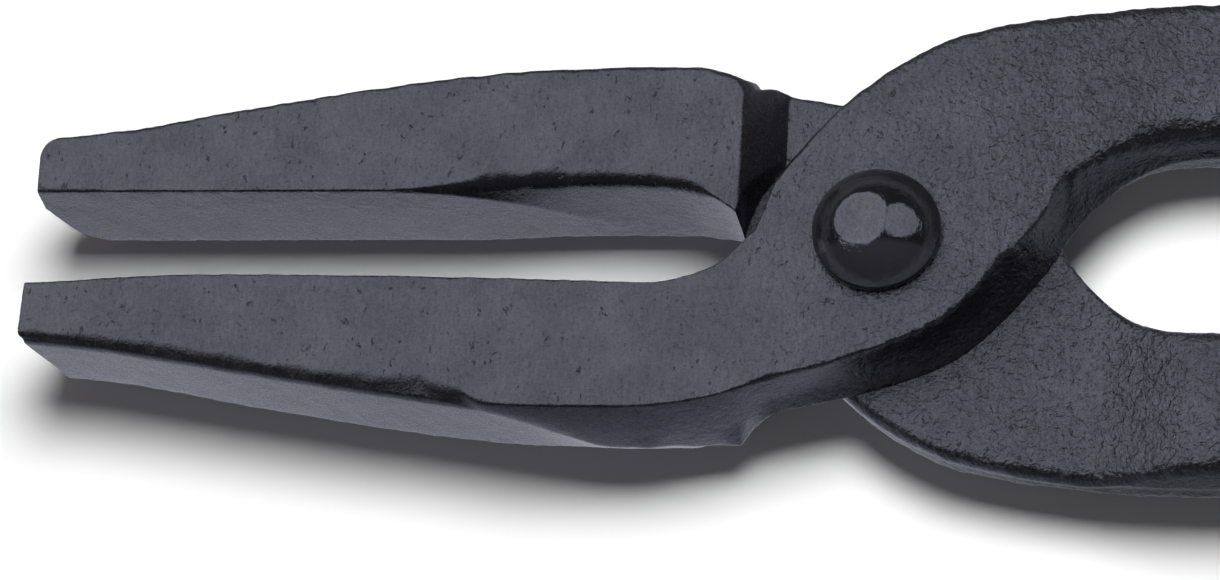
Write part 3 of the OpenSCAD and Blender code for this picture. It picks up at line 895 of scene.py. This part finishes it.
def steel_material(name, roughness, grain, painted_reflection_y):
    """Black forge scale on steel: almost no colour of its own, a soft bluish gloss, grain, wrinkles and pits.

    The last argument is the Y, in millimetres, in front of which the base colour turns greyer: a painted
    reflection of the floor, meant for the rivet dome's near side.
    """
    material, tree = new_material(name)
    where = tree.add("TexCoord").outputs["Object"]
    place = tree.split(where)
    coarse = tree.ramp(place["X"], -45 * MM, 32 * MM, 0.15, 1.3)
    fine = tree.noise(where, 0.32, detail=4, rough=0.6)
    peel = tree.math("MULTIPLY", tree.noise(where, 0.7, detail=2, rough=0.5, distortion=0.4), coarse)
    folds = tree.noise(where, 1.6, detail=2, rough=0.5, distortion=0.8)
    wrinkle = tree.math("MULTIPLY", tree.ramp(folds, 0.4, 0.58), coarse)
    streak = tree.noise(tree.stretch(where, (1, 0.22, 0.35)), 0.3, detail=3, rough=0.6)
    cloud = tree.noise(where, 7, detail=4, rough=0.6)
    spots = tree.noise(tree.stretch(where, (1, 0.55, 0.8)), 0.75, detail=3, rough=0.65, distortion=0.6)
    pits = tree.ramp(spots, 0.64, 0.74)
    height = tree.total(tree.math("MULTIPLY", fine, 0.45), tree.math("MULTIPLY", wrinkle, 0.3), peel,
                        tree.math("MULTIPLY", streak, 0.35), tree.math("MULTIPLY", pits, -0.5))
    # Share of the full gloss: mottled, less in the pits, more where the pointiness is high
    worn = tree.ramp(tree.add("NewGeometry").outputs["Pointiness"], 0.515, 0.56)
    sheen = tree.total(tree.ramp(cloud, 0.3, 0.7, -0.05, 0.05), tree.ramp(fine, 0.25, 0.75, 0.36, 0.58),
                       tree.ramp(streak, 0.3, 0.7, -0.05, 0.05))
    sheen = tree.math("MULTIPLY", sheen, tree.ramp(pits, 0, 1, 1, 0.7))
    sheen = tree.math("ADD", sheen, tree.math("MULTIPLY", worn, 0.1))
    scale = tree.mix_colour(cloud, SCALE_DARK, SCALE_PALE)
    # In front of the given Y the base colour turns greyer: painted reflection of the floor on the rivet
    # dome's near side
    front = tree.ramp(place["Y"], (painted_reflection_y - 0.5) * MM, (painted_reflection_y + 0.5) * MM, 1, 0)
    shader = tree.add("BsdfPrincipled")
    for socket, value in (("Base Color", tree.mix_colour(front, scale, SCALE_PAINTED_REFLECTION)),
                          ("Roughness", tree.ramp(fine, 0.3, 0.7, roughness - 0.05, roughness + 0.06)),
                          ("Specular IOR Level", tree.math("MULTIPLY", sheen, FULL_GLOSS)),
                          ("Specular Tint", GLOSS_TINT),
                          ("Normal", steel_bump(tree, height, grain))):
        tree.put(value, shader.inputs[socket])
    tree.finish(shader.outputs["BSDF"])
    return material


def floor_glow(tree):
    """What gloss sees of the floor: dimmer farther off to the sides, along the reins and behind the tongs."""
    place = tree.split(tree.add("NewGeometry").outputs["Position"])
    across = tree.ramp(tree.math("ABSOLUTE", place["Y"]), 10 * MM, 44 * MM, 0.94, 0.68)
    along = tree.ramp(place["X"], -2 * MM, 26 * MM, 1, 0.56)
    behind = tree.ramp(place["Y"], 22 * MM, 36 * MM, 1, 0.3)
    glow = tree.add("Emission")
    glow.inputs["Color"].default_value = FLOOR_GLOW
    strength = tree.math("MULTIPLY", tree.math("MULTIPLY", across, along), behind)
    tree.put(strength, glow.inputs["Strength"])
    return glow.outputs[0]


def floor_material():
    """White paint that takes the tongs' shadow and is whiter to the eye. Gloss sees a glow instead."""
    material, tree = new_material("white_floor")
    ray = tree.add("LightPath").outputs
    paint_shader = tree.add("BsdfDiffuse")
    white = tree.mix_colour(ray["Is Camera Ray"], FLOOR_WHITE, FLOOR_WHITE_SEEN)
    tree.put(white, paint_shader.inputs["Color"])
    in_gloss = tree.math("MAXIMUM", ray["Is Glossy Ray"], ray["Is Transmission Ray"])
    tree.finish(tree.mix_shader(in_gloss, paint_shader.outputs[0], floor_glow(tree)))
    return material


# ---------------------------------------------------------------- the floor, the room and the light
# Distances here are in metres
FLOOR_SIZE = 12
ROOM_TINT = (1, 0.93, 0.97, 1)
ROOM_LIGHT = 0.06


def add_floor():
    bpy.ops.mesh.primitive_plane_add(size=FLOOR_SIZE, location=(0, 0, 0))
    floor = bpy.context.object
    floor.name = "floor"
    floor.data.materials.append(floor_material())


def add_world():
    """A dim room, where the camera and, half as bright, gloss see white below and along the horizon."""
    world = bpy.data.worlds.new("room")
    bpy.context.scene.world = world
    world.use_nodes = True
    tree = Nodes(world.node_tree)
    ray = tree.add("LightPath").outputs
    up = tree.split(tree.add("TexCoord").outputs["Generated"])["Z"]
    backdrop = tree.add("Background")
    strength = tree.math("MULTIPLY", tree.ramp(up, 0.1, 0.25, 1, 0.03),
                         tree.ramp(ray["Is Camera Ray"], 0, 1, 0.5, 1))
    tree.put(strength, backdrop.inputs["Strength"])
    dim = tree.add("Background")
    dim.inputs["Color"].default_value = ROOM_TINT
    dim.inputs["Strength"].default_value = ROOM_LIGHT
    sees = tree.math("MAXIMUM", ray["Is Camera Ray"], ray["Is Glossy Ray"])
    sees = tree.math("MAXIMUM", sees, ray["Is Transmission Ray"])
    tree.finish(tree.mix_shader(sees, dim.outputs[0], backdrop.outputs[0]), "OutputWorld")


def add_lamp(name, tilt, half, distance, radiance):
    """An oval softbox that faces the tongs.

    tilt is its direction, as angles from straight up along X and Y, and half is half its apparent size.
    """
    toward = Vector((math.tan(math.radians(tilt[0])), math.tan(math.radians(tilt[1])), 1)).normalized()
    data = bpy.data.lights.new(name, "AREA")
    data.shape = "ELLIPSE"
    data.size = 2 * distance * math.tan(math.radians(half[0]))
    data.size_y = 2 * distance * math.tan(math.radians(half[1]))
    area = math.pi / 4 * data.size * data.size_y
    data.energy = radiance * math.pi * area
    lamp = new_object(name, data)
    turn = toward.to_track_quat("Z", "Y").to_matrix().to_4x4()
    lamp.matrix_world = Matrix.Translation(toward * distance) @ turn
    lamp.visible_camera = False
    return lamp


def add_lights():
    """Two lamps that gloss doesn't see, and two soft panels that only gloss sees."""
    for lamp in (add_lamp("key_light", tilt=(5.5, 13), half=(14.5, 15), distance=1.5, radiance=15),
                 add_lamp("front_fill", tilt=(0, -36), half=(14, 14), distance=1.5, radiance=0.4)):
        lamp.visible_glossy = False
    for panel in (add_lamp("left_softbox", tilt=(-26, 21), half=(38, 36), distance=1.2, radiance=2.42),
                  add_lamp("right_softbox", tilt=(38, 21), half=(17, 23), distance=1.2, radiance=2.3)):
        panel.visible_diffuse = False


add_camera()
add_world()
add_lights()
add_floor()
bpy.context.scene.view_settings.view_transform = "Standard"
# The rivet's base colour is greyer in front of Y = -3 mm, a painted reflection; the forgings' limit lies
# beyond them, so they have none
forged_steel = steel_material("black_forged_steel", roughness=0.29, grain=0.85, painted_reflection_y=-100)
rivet_steel = steel_material("hammered_rivet_steel", roughness=0.11, grain=0.2, painted_reflection_y=-3)
forged_half("top_forging", "top_half", "top", 1, forged_steel)
forged_half("bottom_forging", "bottom_half", "bottom", -1, forged_steel)
hammered_rivet(rivet_steel)
